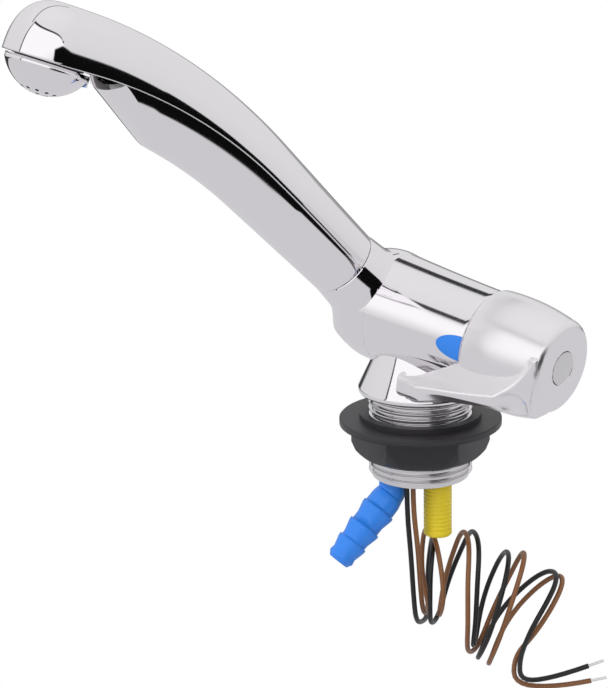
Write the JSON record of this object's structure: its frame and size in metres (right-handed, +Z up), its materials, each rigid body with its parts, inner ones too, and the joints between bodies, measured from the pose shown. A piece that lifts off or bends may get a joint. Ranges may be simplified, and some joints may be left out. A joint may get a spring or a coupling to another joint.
{
  "type": "cold water tap",
  "caption": "Chromed cold water tap with an inclined swivel spout and side handle, threaded shank with flanged nut, barbed hose elbow, blanking plug and a two-wire pump switch lead.",
  "frame": {"origin": "centre of the collar's underside, in the plane where the tap stands on the worktop, on the threaded shank's axis", "axes": "+Z up along the shank's axis, +X towards the handle's end, the spout leans to -Y and a little to -X"},
  "size_m": [0.1154, 0.1447, 0.2224],
  "materials": {
    "chrome": "polished chrome plating",
    "satin_metal": "bright machined metal",
    "blue_plastic": "slightly glossy bright blue plastic",
    "black_plastic": "black moulded plastic",
    "yellow_plastic": "yellow moulded plastic",
    "grey_plastic": "grey moulded plastic",
    "clear_tube": "milky tube plastic",
    "rubber": "black rubber",
    "brass": "machined brass",
    "steel": "spring steel and screws",
    "ceramic": "white ceramic, lapped",
    "black_insulation": "black cable insulation",
    "brown_insulation": "brown cable insulation",
    "bare_wire": "tinned bare wire"
  },
  "bodies": {
    "tap_body": {"body_shell": "chrome", "collar_seal": "rubber", "blue_marker": "blue_plastic", "threaded_shank": "satin_metal", "port_block": "black_plastic", "shank_ring": "steel", "cartridge_body": "grey_plastic", "cartridge_ring": "brass", "fixed_disc": "ceramic", "spindle_seal": "rubber", "switch_case": "black_plastic", "switch_screws": "steel", "switch_terminals": "brass", "wire_grommet": "rubber", "inlet_tube": "clear_tube", "blanking_plug": "yellow_plastic", "blanking_plug_seal": "rubber", "black_lead_inside": "black_insulation", "black_wire_drop": "black_insulation", "black_wire_coil": "black_insulation", "black_wire_tail": "black_insulation", "black_wire_core": "bare_wire", "brown_lead_inside": "brown_insulation", "brown_wire_drop": "brown_insulation", "brown_wire_coil": "brown_insulation", "brown_wire_tail": "brown_insulation", "brown_wire_core": "bare_wire"},
    "spout": {"spout_upper_shell": "chrome", "spout_lower_shell": "chrome", "spout_spigot": "grey_plastic", "spout_seal": "rubber", "spout_clip": "steel", "water_tube": "clear_tube", "rose_holder": "grey_plastic", "rose_seal": "rubber", "outlet_rose": "chrome"},
    "handle_set": {"handle": "chrome", "handle_hub": "grey_plastic", "handle_screw": "steel", "screw_cap": "satin_metal", "spindle": "brass", "moving_disc": "ceramic", "switch_cam": "grey_plastic"},
    "washer": {"nut_washer": "black_plastic"},
    "nut": {"mounting_nut": "black_plastic"},
    "hose_elbow": {"hose_tail": "blue_plastic", "hose_tail_seal": "rubber"},
    "plunger": {"switch_plunger": "grey_plastic"}
  },
  "joints": [
    {"name": "handle_lift", "type": "hinge", "parent": "tap_body", "child": "handle_set", "pos_m": [-0.012, 0, 0.0249], "axis": [-0.9903, 0, 0.1392], "range_deg": [0, 75]},
    {"name": "spout_swing", "type": "hinge", "parent": "tap_body", "child": "spout", "pos_m": [-0.0128, 0, 0.0249], "axis": [-0.2418, -0.6645, 0.7071], "range_deg": [-40, 40]},
    {"name": "nut_travel", "type": "slide", "parent": "tap_body", "child": "washer", "axis": [0, 0, 1], "range_m": [-0.006, 0.006]},
    {"name": "nut_turn", "type": "hinge", "parent": "washer", "child": "nut", "pos_m": [0, 0, 0], "axis": [0, 0, 1], "range_deg": [-1085, 1085]},
    {"name": "hose_elbow_turn", "type": "hinge", "parent": "tap_body", "child": "hose_elbow", "pos_m": [-0.0061, -0.006, 0], "axis": [0, 0, 1], "range_deg": [-60, 10]},
    {"name": "plunger_press", "type": "slide", "parent": "tap_body", "child": "plunger", "axis": [-0.1392, 0, -0.9903], "range_m": [0, 0.0012]}
  ],
  "couplings": [
    {"joint": "nut_turn", "follows": "nut_travel", "rad_per_m": 3141.6},
    {"joint": "plunger_press", "follows": "handle_lift", "m_per_rad": 0.00085944}
  ]
}
